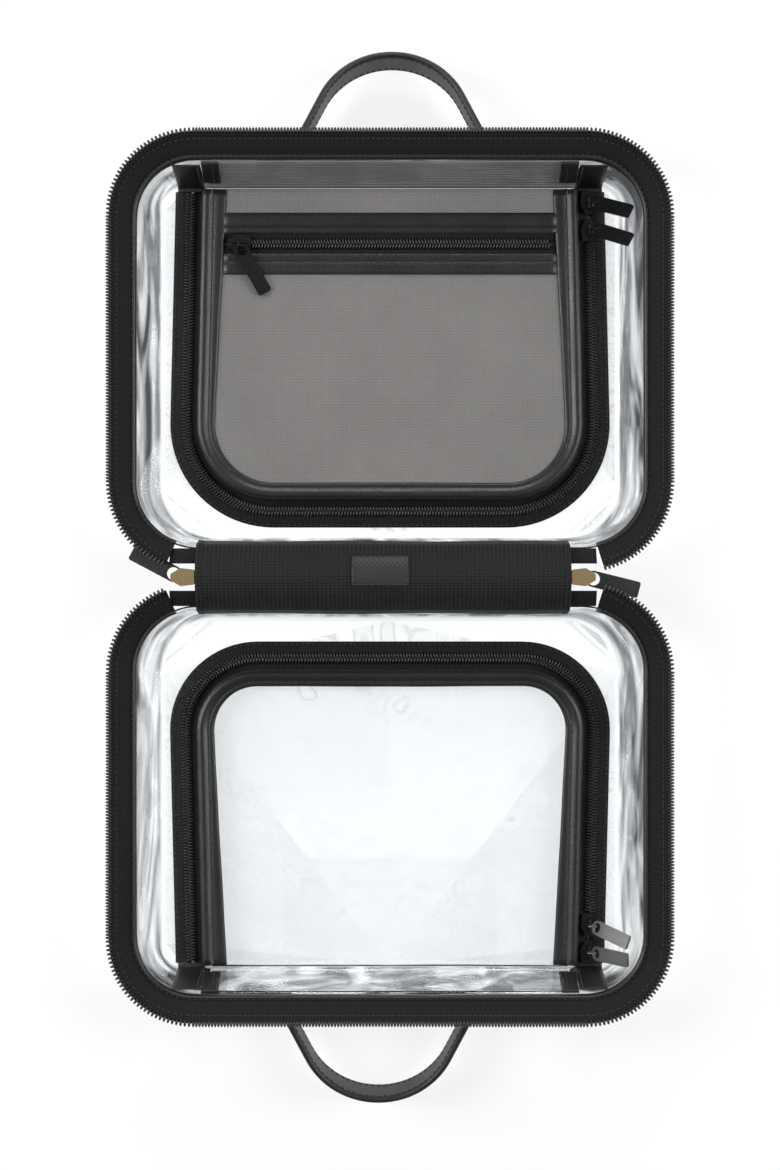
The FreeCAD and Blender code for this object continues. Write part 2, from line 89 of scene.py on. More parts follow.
def strip_place(tree):
    """A point made of the strip's along and across attributes, in millimetres."""
    along = node(tree, "ShaderNodeAttribute", attribute_name="along").outputs["Fac"]
    across = node(tree, "ShaderNodeAttribute", attribute_name="across").outputs["Fac"]
    return node(tree, "ShaderNodeCombineXYZ", {"X": along, "Y": across}).outputs["Vector"]


def bumped(tree, shader, height, distance, strength=1.0):
    """Links a height to the shader's normal."""
    bump = node(tree, "ShaderNodeBump", {"Height": height, "Strength": strength, "Distance": distance})
    tree.links.new(bump.outputs["Normal"], shader.inputs["Normal"])


def joined(tree, one, two, operation):
    """Two patterns joined by a sum."""
    return node(tree, "ShaderNodeMath", {0: one, 1: two}, operation=operation).outputs[0]


def bands(tree, place, way, scale, distortion=0.0):
    """Soft parallel bands across X or Y."""
    inputs = {"Vector": place, "Scale": scale, "Distortion": distortion}
    return node(tree, "ShaderNodeTexWave", inputs, bands_direction=way).outputs["Fac"]


def between(tree, fac, low, high):
    """Two colours mixed by a pattern."""
    ramp = node(tree, "ShaderNodeValToRGB", {"Fac": fac})
    ramp.color_ramp.elements[0].color = (*low, 1)
    ramp.color_ramp.elements[1].color = (*high, 1)
    return ramp.outputs["Color"]


def spread(tree, fac, low, high):
    """A pattern brought into a range of numbers."""
    made = node(tree, "ShaderNodeMapRange", {"Value": fac, "To Min": low, "To Max": high})
    return made.outputs["Result"]


# %% [markdown]
# Clear PVC bends little light but mirrors a lot at a glancing angle. The tray's steep walls also carry
# painted dark reflections, smoky streaks painted into their colour, which draw them against a white table.
# It is a smooth glass with a slow ripple, and lamps pass straight through it, so that the table under the
# tray stays white.

# %% Clear PVC


def painted_wall_reflections(tree, place, tint):
    """Painted dark reflections: smoky streaks painted into the colour where the sheet stands steep."""
    normal = node(tree, "ShaderNodeNewGeometry").outputs["Normal"]
    upright = node(tree, "ShaderNodeSeparateXYZ", {"Vector": normal}).outputs["Z"]
    level = node(tree, "ShaderNodeMath", {0: upright}, operation="ABSOLUTE").outputs[0]
    steep = node(tree, "ShaderNodeMapRange", {"Value": level, "From Min": 0.93, "From Max": 0.45})
    streak = node(tree, "ShaderNodeMapping", {"Vector": place, "Scale": (1.0, 0.4, 1.6)})
    blots = node(tree, "ShaderNodeTexNoise", {"Vector": streak.outputs[0], "Scale": 30.0, "Detail": 2.0,
                                              "Roughness": 0.45, "Distortion": 1.6})
    blot = blots.outputs["Fac"]
    edge = node(tree, "ShaderNodeMapRange", {"Value": blot, "From Min": 0.34, "From Max": 0.6})
    painted_dark_share = joined(tree, steep.outputs[0], edge.outputs[0], "MULTIPLY")
    # The dark end of this mix is the colour of the painted reflections on the steep walls.
    return between(tree, painted_dark_share, tint, (0.1, 0.105, 0.115))


def clear_sheet(name, ripple, tint, bend=1.5, painted_streaks=False):
    """Flexible clear sheet. The ripple is the depth of its slow waves in metres."""
    mat, tree, shader = finish(name)
    shader.inputs["Base Color"].default_value = (*tint, 1)
    shader.inputs["Transmission Weight"].default_value = 1.0
    shader.inputs["IOR"].default_value = bend
    place = object_place(tree)
    # Painted dark reflections go into the colour of a steep sheet.
    if painted_streaks:
        tree.links.new(painted_wall_reflections(tree, place, tint), shader.inputs["Base Color"])
    waves = node(tree, "ShaderNodeTexNoise", {"Vector": place, "Scale": 34.0, "Detail": 1.0})
    haze = node(tree, "ShaderNodeTexNoise", {"Vector": place, "Scale": 90.0, "Detail": 3.0})
    tree.links.new(spread(tree, haze.outputs["Fac"], 0.02, 0.09), shader.inputs["Roughness"])
    bumped(tree, shader, waves.outputs["Fac"], ripple)
    path = node(tree, "ShaderNodeLightPath")
    through = node(tree, "ShaderNodeBsdfTransparent", {"Color": (*tint, 1)})
    mix = node(tree, "ShaderNodeMixShader", {0: path.outputs["Is Shadow Ray"]})
    tree.links.new(shader.outputs["BSDF"], mix.inputs[1])
    tree.links.new(through.outputs["BSDF"], mix.inputs[2])
    tree.links.new(mix.outputs["Shader"], tree.nodes["Material Output"].inputs["Surface"])
    return mat


# The tray's sheet carries the painted dark reflections on its walls.
tray_pvc = clear_sheet("tray_pvc", 0.0035, (0.93, 0.95, 0.96), painted_streaks=True)
panel_pvc = clear_sheet("panel_pvc", 0.003, (0.95, 0.965, 0.97))
film_pvc = clear_sheet("film_pvc", 0.001, (0.97, 0.975, 0.98), 1.12)
print("clear sheets made")

# %% [markdown]
# Zip tape is a flat polyester weave with a smoother edge beside the teeth. Fine ribs run across it.
# The two attributes give the ribs, and a slow noise keeps the black from being one flat value.

# %% Woven tape and nylon


def woven(name, dark, light, rib, rough):
    """A black weave. rib is the width of one rib in millimetres."""
    mat, tree, shader = finish(name)
    place = strip_place(tree)
    turns = 1.0 / rib
    ribs = bands(tree, place, "X", turns * 0.16, 0.4)
    threads = bands(tree, place, "Y", turns * 0.22, 0.6)
    cloud = node(tree, "ShaderNodeTexNoise", {"Vector": object_place(tree), "Scale": 60.0, "Detail": 4.0})
    height = joined(tree, ribs, threads, "MULTIPLY")
    shade = joined(tree, height, cloud.outputs["Fac"], "MULTIPLY")
    tree.links.new(between(tree, shade, dark, light), shader.inputs["Base Color"])
    tree.links.new(spread(tree, cloud.outputs["Fac"], rough - 0.1, rough + 0.1), shader.inputs["Roughness"])
    shader.inputs["Sheen Weight"].default_value = 0.04
    shader.inputs["Specular IOR Level"].default_value = 0.25
    shader.inputs["Sheen Roughness"].default_value = 0.4
    bumped(tree, shader, height, 0.0003)
    return mat


zip_weave = woven("zip_weave", (0.003, 0.003, 0.003), (0.022, 0.022, 0.023), 0.8, 0.75)
spine_weave = woven("spine_weave", (0.004, 0.004, 0.004), (0.03, 0.03, 0.032), 1.1, 0.7)
print("weaves made")

# %% [markdown]
# The bindings, tabs and straps are soft black PU with a fine grain. A small cell pattern gives the grain
# and a slow noise breaks the gloss, so that a rolled edge catches a broken highlight.

# %% Grained PU


def grained(name, dark, light, cell, rough, cross_hatch=False):
    """Black PU leather. cell is the size of its grain in metres."""
    mat, tree, shader = finish(name)
    place = object_place(tree)
    cells = node(tree, "ShaderNodeTexVoronoi", {"Vector": place, "Scale": 1.0 / cell}, feature="SMOOTH_F1")
    cloud = node(tree, "ShaderNodeTexNoise", {"Vector": place, "Scale": 45.0, "Detail": 5.0})
    height = cells.outputs["Distance"]
    if cross_hatch:
        turned = node(tree, "ShaderNodeMapping", {"Vector": place, "Rotation": (0, 0, math.radians(45))})
        one, two = (bands(tree, turned.outputs[0], way, 170.0) for way in "XY")
        height = joined(tree, one, two, "MULTIPLY")
    tree.links.new(between(tree, cloud.outputs["Fac"], dark, light), shader.inputs["Base Color"])
    tree.links.new(spread(tree, cloud.outputs["Fac"], rough - 0.1, rough + 0.12), shader.inputs["Roughness"])
    bumped(tree, shader, height, 0.0002, 0.6)
    return mat


binding_pu = grained("binding_pu", (0.004, 0.004, 0.004), (0.012, 0.012, 0.013), 0.0009, 0.38)
strap_pu = grained("strap_pu", (0.004, 0.004, 0.004), (0.011, 0.011, 0.012), 0.0012, 0.45)
patch_pu = grained("patch_pu", (0.004, 0.004, 0.004), (0.013, 0.013, 0.014), 0.0009, 0.5, True)
print("PU finishes made")

# %% [markdown]
# Coil teeth are bent nylon wire: dark, a little brown and fairly glossy. Thread is matt. The metals are
# brass on the main sliders, satin grey on the front pulls and black paint on the rest.

# %% Wire, thread and metal


def plain(name, dark, light, metal, rough, scale, depth):
    """A finish with a fine speckle in its colour, gloss and height."""
    mat, tree, shader = finish(name)
    place = object_place(tree)
    speck = node(tree, "ShaderNodeTexNoise", {"Vector": place, "Scale": scale, "Detail": 5.0})
    tree.links.new(between(tree, speck.outputs["Fac"], dark, light), shader.inputs["Base Color"])
    tree.links.new(spread(tree, speck.outputs["Fac"], rough * 0.75, rough * 1.25), shader.inputs["Roughness"])
    shader.inputs["Metallic"].default_value = metal
    bumped(tree, shader, speck.outputs["Fac"], depth, 0.5)
    return mat


coil_wire = plain("coil_wire", (0.007, 0.006, 0.005), (0.028, 0.023, 0.02), 0.0, 0.36, 700.0, 0.00005)
thread = plain("thread", (0.01, 0.01, 0.011), (0.04, 0.04, 0.042), 0.0, 0.6, 2500.0, 0.0001)
brass = plain("slider_brass", (0.66, 0.47, 0.23), (0.76, 0.56, 0.3), 1.0, 0.24, 900.0, 0.00002)
satin = plain("pull_satin", (0.16, 0.16, 0.16), (0.24, 0.24, 0.236), 1.0, 0.46, 500.0, 0.00003)
black_metal = plain("black_metal", (0.006, 0.006, 0.006), (0.02, 0.02, 0.021), 0.6, 0.36, 400.0, 0.00004)
print("wire, thread and metals made")

# %% [markdown]
# The rear panel is a fine grey knitted mesh. Its holes are under a millimetre, so they are cut in the
# finish between crossing threads, and the white table shows through as a lighter grey.

# %% Knitted mesh


def knitted(name, pitch, open_share):
    """Grey knit with see-through gaps. pitch is in metres, open_share is what a gap still covers."""
    mat, tree, shader = finish(name)
    place = object_place(tree)
    turns = 0.31 / pitch
    warp, weft = (bands(tree, place, way, turns, 0.3) for way in "XY")
    threads = joined(tree, warp, weft, "MAXIMUM")
    cloud = node(tree, "ShaderNodeTexNoise", {"Vector": place, "Scale": 25.0, "Detail": 4.0})
    tree.links.new(between(tree, cloud.outputs["Fac"], (0.15, 0.142, 0.135), (0.215, 0.205, 0.196)),
                   shader.inputs["Base Color"])
    shader.inputs["Roughness"].default_value = 0.85
    bumped(tree, shader, threads, 0.0003)
    tree.links.new(spread(tree, threads, open_share, 1.0), shader.inputs["Alpha"])
    return mat


knit = knitted("grey_knit", 0.0008, 0.45)
print("knit made")

# %% [markdown]
# The zip strips follow a few routes: the rim's rounded outline and the U of each pocket. A route is a list
# of stations, each with a point, the way inwards and the length so far. Round corners are stepped finely.

# %% Routes


def corner_stations(before, corner, after, radius, step):
    """Points and headings round one corner, from its first tangent point to its last."""
    back = (before - corner).normalized()
    ahead = (after - corner).normalized()
    half = back.angle(ahead) / 2
    centre = corner + (back + ahead).normalized() * (radius / math.sin(half))
    start = corner + back * (radius / math.tan(half))
    turn = math.pi - 2 * half
    way = 1 if back.cross(ahead) < 0 else -1
    count = max(3, int(radius * turn / step))
    for i in range(count + 1):
        angle = way * turn * i / count
        yield centre + Matrix.Rotation(angle, 2) @ (start - centre), Matrix.Rotation(angle, 2) @ -back


def route(corners, radii, step):
    """Stations (point, inward, length) along straight runs and round corners."""
    points = []
    for i, (corner, radius) in enumerate(zip(corners, radii)):
        if radius:
            points += corner_stations(corners[i - 1], corner, corners[i + 1], radius, step)
        else:
            other = corners[1] if i == 0 else corners[i - 1]
            heading = (other - corner).normalized() * (1 if i == 0 else -1)
            points.append((corner, heading))
    spaced = [points[0]]
    for point, heading in points[1:]:
        last, heading_before = spaced[-1]
        count = max(1, round((point - last).length / step))
        for j in range(1, count + 1):
            share = j / count
            spaced.append((last.lerp(point, share), heading_before.lerp(heading, share).normalized()))
    stations = []
    length = 0.0
    for i, (point, heading) in enumerate(spaced):
        if i:
            length += (point - spaced[i - 1][0]).length
        stations.append((point, Vector((-heading.y, heading.x)), length))
    return stations


def at_length(stations, length):
    """The station at a length along a route."""
    for (p, n, s), (q, m, t) in zip(stations, stations[1:]):
        if t >= length:
            share = (length - s) / max(t - s, 1e-9)
            return p.lerp(q, share), n.lerp(m, share).normalized()
    return stations[-1][0], stations[-1][1]


# %% [markdown]
# A strip is made the way a tailor would feed it: one cross-section is drawn at the first station, then
# extruded from station to station. Every vertex remembers how far along and across the strip it lies.

# %% Strips and beads


def store(bm, name, mat, side, smooth=True):
    """Turns a bmesh in millimetres into an object, mirrored to the front half where side is -1."""
    if side < 0:
        bmesh.ops.scale(bm, vec=(1, -1, 1), verts=bm.verts)
    bmesh.ops.scale(bm, vec=(MM, MM, MM), verts=bm.verts)
    bmesh.ops.recalc_face_normals(bm, faces=bm.faces)
    mesh = bpy.data.meshes.new(name)
    bm.to_mesh(mesh)
    bm.free()
    for face in mesh.polygons:
        face.use_smooth = smooth
    made = bpy.data.objects.new(name, mesh)
    bpy.context.scene.collection.objects.link(made)
    mesh.materials.append(mat)
    return made


def strip(stations, section):
    """A bmesh of a closed cross-section led along a route. section(station) gives (inward, height) points."""
    bm = bmesh.new()
    along = bm.verts.layers.float.new("along")
    across = bm.verts.layers.float.new("across")

    def put(verts, station):
        point, inward, length = station
        reach = 0.0
        shape = section(station)
        for vert, (offset, z), last in zip(verts, shape, [shape[0]] + shape):
            reach += math.hypot(offset - last[0], z - last[1])
            vert.co = (*(point + inward * offset), z)
            vert[along] = length
            vert[across] = reach

    ring = [bm.verts.new() for _ in section(stations[0])]
    put(ring, stations[0])
    edges = [bm.edges.new((ring[i - 1], ring[i])) for i in range(len(ring))]
    caps = [list(ring)]
    for station in stations[1:]:
        made = bmesh.ops.extrude_edge_only(bm, edges=edges)["geom"]
        edges = [item for item in made if isinstance(item, bmesh.types.BMEdge) and len(item.link_faces) == 1]
        fresh = {vert for edge in edges for vert in edge.verts}
        linked = []
        for vert in ring:
            linked.append(next(e.other_vert(vert) for e in vert.link_edges if e.other_vert(vert) in fresh))
        ring = linked
        put(ring, station)
    caps.append(list(ring))
    for cap in caps:
        bmesh.ops.contextual_create(bm, geom=cap)
    return bm


def bead(bm, place, heading, size, detail=1, roll=0.0):
    """One small rounded bead: a tooth of a coil or a stitch. size is (along, across, high)."""
    first = Vector((heading.x, heading.y, 0)).normalized()
    second = Vector((-first.y, first.x, 0))
    turn = Matrix((first, second, Vector((0, 0, 1)))).transposed().to_4x4()
    scale = Matrix.Diagonal((*[length / 2 for length in size], 1))
    matrix = Matrix.Translation(place) @ turn @ Matrix.Rotation(roll, 4, "Z") @ scale
    bmesh.ops.create_icosphere(bm, subdivisions=detail, radius=1.0, matrix=matrix)


def stitch_row(bm, stations, offset, z, pitch=3.3, first=1.5):
    """Thread stitches sunk a little into a strip, along a route at an inward offset."""
    length = first
    while length < stations[-1][2] - first:
        point, inward = at_length(stations, length)
        place = point + inward * offset
        heading = Vector((inward.y, -inward.x))
        bead(bm, Vector((*place, z)), heading, (2.3, 0.62, 0.6))
        length += pitch


def place_on(made, body, slot, *nodes):
    """Lets a piece ride on a body and hides what it stands for. The slot is not used."""
    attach(made, body)
    if nodes:
        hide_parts(*nodes)
    return made


print("strip tools ready")

# %% [markdown]
# The rim: a woven tape that flares out from the top of the PVC wall, with a row of coil teeth along its
# edge and a PU binding over the raw PVC inside. Real tape never lies dead flat, so it waves a little.

# %% Rim sizes and route
wall_half, wall_start, wall_end, wall_top = 132.0, 14.5, 216.0, 38.0
spine_radius, handle_radius = 34.0, 32.0
row_left, row_right = -111.4, 104.4
tape_reach, tooth_reach = 10.4, 12.7
tooth_pitch = 1.6


def rim_route(step):
    """The top of the wall from the right end of the rim round to the left end."""
    corners = [Vector(c) for c in (
        (0, wall_start), (wall_half, wall_start), (wall_half, wall_end),
        (-wall_half, wall_end), (-wall_half, wall_start), (0, wall_start))]
    full = route(corners, [0, spine_radius, handle_radius, handle_radius, spine_radius, 0], step)

    def clear(station):
        edge = station[0] - station[1] * tooth_reach
        return edge.y > wall_start + spine_radius / 2 or not row_left < edge.x < row_right

    kept = [station for station in full if clear(station)]
    return [(point, inward, length - kept[0][2]) for point, inward, length in kept]


def wave(length, size):
    """The slow, uneven waviness of a sewn tape."""
    slow = math.sin(length / 41.0 + 2.0)
    return size * (math.sin(length / 19.0) * 0.6 + math.sin(length / 7.3 + 1.0) * 0.25 + slow)


def tape_section(station):
    """Rim tape: a flat weave with a raised band beside the teeth."""
    lift = wave(station[2], 0.25)
    ends = [(0.3, 0.15), (0.1, 0.9), (-3.4, 3.0), (-6.6, 5.2), (-8.0, 6.2), (-8.3, 6.9), (-10.4, 8.5),
            (-10.9, 7.9), (-8.6, 5.7), (-3.0, 1.9)]
    return [(offset, wall_top + rise + lift * min(1, -offset / tape_reach)) for offset, rise in ends]


def seam_section(station):
    """PU binding over the edge of the PVC, inside the rim."""
    puff = wave(station[2] + 30, 0.12)
    return [(1.0, 33.4), (1.0, 38.2), (0.2, 39.0), (0.7, 39.7), (1.9 + puff, 39.0), (2.2 + puff, 36.6),
            (2.0 + puff, 33.9), (1.6, 33.3)]


# %% Rim tape, binding and teeth
rim = rim_route(4.0)
for half, side in HALVES:
    tape = store(strip(rim, tape_section), half + "_rim_weave", zip_weave, side)
    place_on(tape, half + "_half", "black_tape", half + "_rim_tape")
    seam = store(strip(rim, seam_section), half + "_rim_seam", binding_pu, side)
    place_on(seam, half + "_half", "black_pu", half + "_seam_binding")
    bm = bmesh.new()
    stitch_row(bm, rim, 0.2, wall_top + 1.5, 3.0)
    stitch_row(bm, rim, -7.2, wall_top + 5.95, 2.6)
    sewn = store(bm, half + "_rim_stitches", thread, side)
    place_on(sewn, half + "_half", "black_tape")
    bm = bmesh.new()
    length = 0.4
    while length < rim[-1][2] - 0.4:
        point, inward = at_length(rim, length)
        lift = wave(length, 0.25)
        place = Vector((*(point - inward * 10.95), wall_top + 8.55 + lift))
        bead(bm, place, Vector(inward), (3.3, 1.5, 1.9), 2)
        length += tooth_pitch
    coil = store(bm, half + "_rim_coil", coil_wire, side)
    place_on(coil, half + "_half", "black_coil", half + "_rim_teeth")
    print(half, "rim has", round(rim[-1][2] / tooth_pitch), "teeth")

# %% [markdown]
# Beside each main slider the tape runs on without teeth until it goes under the spine strip. It is a
# short, narrower length of the same weave.

# %% Tape tails


def tail_section(station):
    """Rim tape cut back beside a main slider."""
    return [(0.3, wall_top + 0.15), (0.1, wall_top + 0.9), (-3.4, wall_top + 3.0), (-7.2, wall_top + 5.4),
            (-7.6, wall_top + 4.9), (-3.0, wall_top + 1.9)]


for half, side in HALVES:
    for name, ends in (("left", (row_left - 1.0, -97.0)), ("right", (90.0, row_right + 1.0))):
        line = route([Vector((x, wall_start)) for x in ends], [0, 0], 3.0)
        made = store(strip(line, tail_section), f"{half}_{name}_rim_tail", zip_weave, side)
        place_on(made, half + "_half", "black_tape")
print("tape tails made")

# %% [markdown]
# Each pocket zip runs in a U. The outer tape is sewn to the tray's floor, and the inner tape rises as a
# gusset to the flap. Between them lie two rows of slanted coil turns, one on each tape.

# %% Pocket sizes and routes
zip_end, leg_spine, leg_handle = 203.4, 108.5, 104.5
pocket_start = {"rear": 35.0, "front": 42.5}
pocket_radius = {"rear": 46.0, "front": 38.0}
coil_foot = 3.0
parked = 176.7


def pocket_route(half, left_end, right_end, step):
    """The middle of a pocket's coil, from its left end round to its right end."""
    start = pocket_start[half]

    def leg(y):
        return leg_spine + (leg_handle - leg_spine) * (y - start) / (zip_end - start)

    corners = [Vector(c) for c in (
        (-leg(left_end), left_end), (-leg(start), start), (leg(start), start), (leg(right_end), right_end))]
    radius = pocket_radius[half]
    return route(corners, [0, radius, radius, 0], step)


def outer_tape(station):
    """Outer tape: sewn flat at its edge and lifted to the coil."""
    lift = wave(station[2], 0.12)
    return [(-8.6, 0.95), (-8.7, 1.55), (-6.2, 1.7 + lift), (-4.6, 2.9 + lift), (-2.8, 3.05), (-0.05, 3.05),
            (-0.05, 2.45), (-4.2, 2.3), (-6.0, 1.0)]


def gusset(station):
    """Inner tape: flat under the coil, then up to the flap's binding."""
    slack = wave(station[2] + 11, 0.15)
    return [(0.05, 2.45), (0.05, 3.05), (5.2, 3.05), (6.0 + slack, 6.0), (7.2, 10.0), (7.8, 10.0),
            (6.8 + slack, 6.0), (5.8, 2.45)]


def border(half):
    """Padded binding of a flap: a round roll outside, a stitched groove and a flat inner edge."""
    start = pocket_start[half]

    def section(station):
        grow = max(0.0, (station[0].y - start) / (zip_end - start))
        flat = 14.6 + 4.2 * grow + wave(station[2] + 5, 0.15)
        puff = wave(station[2] + 17, 0.12)
        return [(6.3, 10.0), (6.1, 11.0), (6.9, 12.1 + puff), (8.6, 12.6 + puff), (10.4, 12.2 + puff),
                (11.6, 11.3), (12.1, 11.0), (12.7, 11.3), (flat - 1.0, 11.2), (flat, 10.7), (flat, 10.1)]

    return section


def coil_row(stations, side_of_chain, z):
    """Slanted coil turns on one side of a chain."""
    bm = bmesh.new()
    length = 0.4 if side_of_chain > 0 else 1.2
    while length < stations[-1][2] - 0.3:
        point, inward = at_length(stations, length)
        place = Vector((*(point + inward * side_of_chain * 1.15), z))
        bead(bm, place, Vector(inward), (3.9, 1.15, 1.9), 2, side_of_chain * math.radians(12))
        length += tooth_pitch
    return bm


# %% Pocket tapes, coils and bindings
for half, side in HALVES:
    whole = pocket_route(half, zip_end, zip_end, 3.5)
    closed = pocket_route(half, 202.7, parked, 3.5)
    body, flap = half + "_half", half + "_flap"
    made = store(strip(whole, outer_tape), half + "_pocket_weave", zip_weave, side)
    place_on(made, body, "black_tape", half + "_pocket_outer_tape")
    made = store(coil_row(closed, -1, coil_foot + 1.05), half + "_pocket_coil", coil_wire, side)
    place_on(made, body, "black_coil", half + "_pocket_outer_coil")
    made = store(strip(pocket_route(half, 202.7, 203.3, 3.5), gusset), half + "_flap_weave", zip_weave, side)
    place_on(made, flap, "black_tape", half + "_flap_tape")
    made = store(coil_row(closed, 1, coil_foot + 1.05), half + "_flap_teeth", coil_wire, side)
    place_on(made, flap, "black_coil", half + "_flap_coil")
    edge = pocket_route(half, 203.6, 203.6, 3.5)
    made = store(strip(edge, border(half)), half + "_flap_border", binding_pu, side)
    place_on(made, flap, "black_pu", half + "_flap_binding")
    bm = bmesh.new()
    stitch_row(bm, edge, 12.1, 11.15)
    made = store(bm, half + "_flap_stitches", thread, side)
    place_on(made, flap, "black_pu")
    bm = bmesh.new()
    stitch_row(bm, whole, -7.3, 1.75, 2.8)
    made = store(bm, half + "_pocket_stitches", thread, side)
    place_on(made, body, "black_tape")
    print(half, "pocket zip is", round(whole[-1][2]), "mm long")

# %% [markdown]
# The flap panels are thin sheets held by their bindings, so their edges can stay rough underneath. A grid
# is cut to the U, and slow waves give it the slack of a sewn panel. The slip pocket cuts the mesh in two.

# %% Panels


def inside_route(half, point, offset):
    """True where a point lies inside the pocket's U by more than an offset."""
    start, radius = pocket_start[half], pocket_radius[half] - offset
    half_width = leg_spine + (leg_handle - leg_spine) * (point.y - start) / (zip_end - start) - offset
    low = start + offset
    if abs(point.x) > half_width or point.y < low:
        return False
    dx, dy = abs(point.x) - (half_width - radius), low + radius - point.y
    return dx < 0 or dy < 0 or math.hypot(dx, dy) < radius


def ripple(x, y, size):
    """Slack in a sewn sheet, in millimetres."""
    slow = math.sin(x / 31.0 + y / 47.0) * math.sin(y / 26.0 + 0.7)
    return size * (slow + 0.35 * math.sin(x / 13.0 - y / 19.0))


def panel(half, low_y, high_y, z, offset, slack, cell=3.0):
    """A sheet inside the U between two places along it."""
    bm = bmesh.new()
    columns = int(2 * leg_spine / cell)
    rows = max(2, int((high_y - low_y) / cell))
    centre = Matrix.Translation((0, (low_y + high_y) / 2, z))
    size = Matrix.Diagonal((leg_spine, (high_y - low_y) / 2, 1, 1))
    bmesh.ops.create_grid(bm, x_segments=columns, y_segments=rows, size=1.0, matrix=centre @ size)
    outside = [v for v in bm.verts if not inside_route(half, v.co, offset)]
    bmesh.ops.delete(bm, geom=outside, context="VERTS")
    for vert in bm.verts:
        vert.co.z += ripple(vert.co.x, vert.co.y, slack)
    return bm


def thicken(made, millimetres):
    """Gives a sheet its thickness."""
    modifier = made.modifiers.new("thickness", "SOLIDIFY")
    modifier.thickness = millimetres * MM
    modifier.offset = 0
    return made


slip_place, slip_open, flap_end = 175.0, 5.2, 203.9
below = panel("rear", 42, slip_place - slip_open, 9.7, 9.5, 0.35)
lower = thicken(store(below, "rear_mesh_lower", knit, 1), 0.35)
above = panel("rear", slip_place + slip_open, flap_end, 9.7, 9.5, 0.1)
upper = thicken(store(above, "rear_mesh_upper", knit, 1), 0.35)
place_on(lower, "rear_flap", "grey_mesh", "rear_flap_mesh")
place_on(upper, "rear_flap", "grey_mesh")
backing = thicken(store(panel("rear", 70, flap_end, 6.7, 9.0, 0.15), "slip_backing_sheet", film_pvc, 1), 0.3)
place_on(backing, "rear_flap", "clear_pvc", "rear_slip_backing")
clear = thicken(store(panel("front", 50, flap_end, 9.7, 9.5, 0.45), "front_clear_panel", panel_pvc, -1), 0.4)
place_on(clear, "front_flap", "clear_pvc", "front_flap_panel")
print("panels made")

# %% [markdown]
# At the handle side the flap's sheet climbs the wall to the rim, with a strip of binding at each edge and
# a stitched tab over the end of the zip. A profile is drawn in side view, then extruded along X.

# %% Wall pieces


def profile_block(points, left, width, soften, segments=2):
    """A closed side-view profile of (y, z) points pushed along X, with softened edges."""
    bm = bmesh.new()
    verts = [bm.verts.new((left, y, z)) for y, z in points]
    face = bm.faces.new(verts)
    moved = bmesh.ops.extrude_face_region(bm, geom=[face])["geom"]
    fresh = [item for item in moved if isinstance(item, bmesh.types.BMVert)]
    bmesh.ops.translate(bm, vec=(width, 0, 0), verts=fresh)
    cuts = [edge for edge in bm.edges if abs(edge.verts[0].co.x - edge.verts[1].co.x) > width / 2]
    bmesh.ops.subdivide_edges(bm, edges=cuts, cuts=max(1, int(width / 3)))
    bmesh.ops.recalc_face_normals(bm, faces=bm.faces)
    sharp = [edge for edge in bm.edges if edge.is_manifold and edge.calc_face_angle() > math.radians(50)]
    bmesh.ops.bevel(bm, geom=sharp, offset=soften, affect="EDGES", segments=segments, profile=0.5,
                    material=-1)
    return bm


def side_stitches(bm, start, end, x, pitch=3.0):
    """Stitches up a sloped strip at one place across the case."""
    way = Vector(end) - Vector(start)
    count = int(way.length / pitch)
    for i in range(count):
        y, z = Vector(start) + way * ((i + 0.5) / count)
        bead(bm, Vector((x, y, z)), Vector((0, 1)), (1.9, 0.6, 1.2))


def cross_stitches(bm, y, z, left, right, pitch=3.0):
    """Stitches along X."""
    count = int((right - left) / pitch)
    for i in range(count):
        x = left + (right - left) * (i + 0.5) / count
        bead(bm, Vector((x, y, z)), Vector((1, 0)), (2.1, 0.6, 0.6))


tab_width, root_half, root_band = 14.5, 96.9, 9.0
tab_profile = [(203.0, 3.15), (206.0, 3.15), (207.2, 7.0), (211.2, 37.6), (210.2, 37.6), (206.0, 7.4),
               (205.0, 4.4), (203.0, 4.2)]
band_profile = [(206.2, 17.8), (212.9, 37.6), (211.3, 37.9), (208.0, 27.5), (205.0, 18.2)]
for half, side in HALVES:
    body = half + "_half"
    for name, x in (("left", -leg_handle), ("right", leg_handle)):
        block = profile_block(tab_profile, x - tab_width / 2, tab_width, 0.3)
        made = store(block, f"{half}_{name}_end_tab", binding_pu, side)
        place_on(made, body, "black_pu", *([half + "_pocket_end_tabs"] if name == "left" else []))
        sign = -1 if name == "left" else 1
        edge = sign * (root_half - root_band / 2)
        block = profile_block(band_profile, edge - root_band / 2, root_band, 0.4)
        made = store(block, f"{half}_{name}_root_band", binding_pu, side)
        place_on(made, body, "black_pu", *([half + "_pocket_root_binding"] if name == "left" else []))
        bm = bmesh.new()
        cross_stitches(bm, 204.0, 4.3, x - 6.0, x + 6.0)
        side_stitches(bm, (206.2, 9.0), (210.0, 36.5), x - 5.6)
        side_stitches(bm, (206.2, 9.0), (210.0, 36.5), x + 5.6)
        side_stitches(bm, (205.4, 19.5), (211.0, 36.5), edge - sign * 1.0)
        made = store(bm, f"{half}_{name}_tab_stitches", thread, side)
        place_on(made, body, "black_pu")
    bm = bmesh.new()
    foot, head = Vector((204.3, 9.25)), Vector((213.2, 37.4))
    lift = head - foot
    matrix = Matrix.Diagonal((root_half, 1, 1, 1))
    bmesh.ops.create_grid(bm, x_segments=40, y_segments=10, size=1.0, matrix=matrix)
    for vert in bm.verts:
        share = (vert.co.y + 1) / 2
        vert.co.y = foot.x + lift.x * share
        vert.co.z = foot.y + lift.y * share
        vert.co.y -= 0.5 * math.sin(math.pi * share) * (1 + math.sin(vert.co.x / 17.0))
    finish_here = (knit, "grey_mesh") if half == "rear" else (panel_pvc, "clear_pvc")
    made = thicken(store(bm, half + "_root_sheet", finish_here[0], side), 0.35)
    place_on(made, body, finish_here[1], half + "_pocket_root")
print("wall pieces made")

# %% [markdown]
# The slip pocket on the mesh is a straight zip between two PU strips, each sewn twice.

